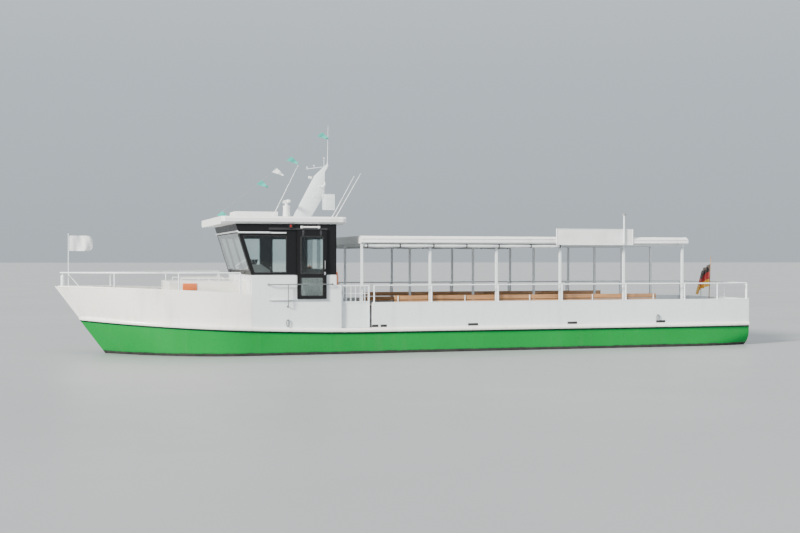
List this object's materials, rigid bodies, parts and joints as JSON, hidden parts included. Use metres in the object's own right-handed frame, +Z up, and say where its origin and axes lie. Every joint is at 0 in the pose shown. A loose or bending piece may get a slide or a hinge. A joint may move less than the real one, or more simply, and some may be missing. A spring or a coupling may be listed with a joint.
{
  "type": "small river passenger ferry",
  "caption": "Small twin-screw river passenger ferry with a forward wheelhouse and a canopied passenger deck",
  "frame": {"origin": "on the still waterline, amidships, on the centreline", "axes": "+X forward to the bow, +Y to port, +Z up"},
  "size_m": [20, 4.515, 7.3002],
  "materials": {
    "hull_paint": "gloss green topsides with a black boot-top",
    "white_paint": "semi-gloss white",
    "dark_paint": "semi-gloss near-black",
    "deck_grey": "matte non-slip grey",
    "canopy_white": "satin white sheet",
    "steel": "satin",
    "bronze": "cast bronze",
    "rubber": "matte black",
    "glass": "clear, faintly blue",
    "flag_cloth": "woven polyester",
    "curtain_cloth": "coated tarpaulin",
    "wood": "varnished",
    "orange_plastic": "matte orange with white bands",
    "white_plastic": "gloss",
    "black_plastic": "matte",
    "console_plastic": "matte pale grey",
    "seat_leather": "black imitation leather"
  },
  "bodies": {
    "hull_body": {"hull": "hull_paint", "hull_bow": "hull_paint", "aerial_fore": "white_plastic", "aerials_aft": "white_plastic", "sign": "white_plastic", "bulwark_bow": "white_paint", "bulwark_stern": "white_paint", "trunk": "white_paint", "bow_rail": "white_paint", "bow_flag": "flag_cloth", "deckhouse": "white_paint", "wheelhouse_front": "dark_paint", "wheelhouse_rear": "dark_paint", "window_front": "glass", "window_rear": "glass", "wheelhouse_roof": "white_paint", "console": "console_plastic", "seat_base": "steel", "mast": "white_paint", "radar_pedestal": "white_paint", "canopy_roof": "canopy_white", "canopy_frame_centre": "white_paint", "stern_staff": "wood", "ensign": "flag_cloth", "light_pole": "white_paint", "bulwark_port": "white_paint", "bulwark_starboard": "white_paint", "rub_rail_port": "rubber", "rub_rail_starboard": "rubber", "wheelhouse_side_port": "dark_paint", "wheelhouse_side_starboard": "dark_paint", "window_port": "glass", "window_starboard": "glass", "grab_rail_port": "steel", "grab_rail_starboard": "steel", "canopy_frame_port": "white_paint", "canopy_frame_starboard": "white_paint", "curtain_port": "curtain_cloth", "curtain_starboard": "curtain_cloth", "bench_port": "wood", "bench_starboard": "wood", "shaft_port": "steel", "shaft_starboard": "steel", "lifebuoy_port": "orange_plastic", "lifebuoy_starboard": "orange_plastic"},
    "radar": {"radar_scanner": "white_plastic"},
    "fore_hatch_lid": {"fore_hatch": "deck_grey"},
    "aft_hatch_lid": {"aft_hatch": "deck_grey"},
    "helm": {"helm_wheel": "black_plastic"},
    "helm_chair": {"helm_seat": "seat_leather"},
    "side_door_port": {"door_port": "dark_paint", "door_glass_port": "glass"},
    "boarding_gate_port": {"gate_port": "white_paint"},
    "screw_port": {"propeller_port": "bronze"},
    "rudder_blade_port": {"rudder_port": "hull_paint"},
    "side_door_starboard": {"door_starboard": "dark_paint", "door_glass_starboard": "glass"},
    "boarding_gate_starboard": {"gate_starboard": "white_paint"},
    "screw_starboard": {"propeller_starboard": "bronze"},
    "rudder_blade_starboard": {"rudder_starboard": "hull_paint"}
  },
  "joints": [
    {"name": "radar_turn", "type": "hinge", "parent": "hull_body", "child": "radar", "pos_m": [3.66, 0, 4.2], "axis": [0, 0, 1], "continuous": true},
    {"name": "fore_hatch_lift", "type": "hinge", "parent": "hull_body", "child": "fore_hatch_lid", "pos_m": [8.22, 0, 1.015], "axis": [0, 1, 0], "range_deg": [0, 95]},
    {"name": "aft_hatch_lift", "type": "hinge", "parent": "hull_body", "child": "aft_hatch_lid", "pos_m": [-8.48, 0, 0.715], "axis": [0, 1, 0], "range_deg": [0, 95]},
    {"name": "helm_turn", "type": "hinge", "parent": "hull_body", "child": "helm", "pos_m": [4.2, 0.45, 2.15], "axis": [1, 0, 0], "range_deg": [-540, 540]},
    {"name": "chair_swivel", "type": "hinge", "parent": "hull_body", "child": "helm_chair", "pos_m": [3.65, 0.45, 1.95], "axis": [0, 0, 1], "continuous": true},
    {"name": "door_slide_port", "type": "slide", "parent": "hull_body", "child": "side_door_port", "axis": [1, 0, 0], "range_m": [0, 0.7]},
    {"name": "gate_slide_port", "type": "slide", "parent": "hull_body", "child": "boarding_gate_port", "axis": [-1, 0, 0], "range_m": [0, 0.75]},
    {"name": "screw_turn_port", "type": "hinge", "parent": "hull_body", "child": "screw_port", "pos_m": [-8.8, 0.9, -0.64], "axis": [1, 0, 0], "continuous": true},
    {"name": "rudder_turn_port", "type": "hinge", "parent": "hull_body", "child": "rudder_blade_port", "pos_m": [-9.25, 0.9, -0.6], "axis": [0, 0, 1], "range_deg": [-35, 35]},
    {"name": "door_slide_starboard", "type": "slide", "parent": "hull_body", "child": "side_door_starboard", "axis": [1, 0, 0], "range_m": [0, 0.7]},
    {"name": "gate_slide_starboard", "type": "slide", "parent": "hull_body", "child": "boarding_gate_starboard", "axis": [-1, 0, 0], "range_m": [0, 0.75]},
    {"name": "screw_turn_starboard", "type": "hinge", "parent": "hull_body", "child": "screw_starboard", "pos_m": [-8.8, -0.9, -0.64], "axis": [1, 0, 0], "continuous": true},
    {"name": "rudder_turn_starboard", "type": "hinge", "parent": "hull_body", "child": "rudder_blade_starboard", "pos_m": [-9.25, -0.9, -0.6], "axis": [0, 0, 1], "range_deg": [-35, 35]}
  ],
  "couplings": [
    {"joint": "rudder_turn_starboard", "follows": "rudder_turn_port", "ratio": 1}
  ]
}
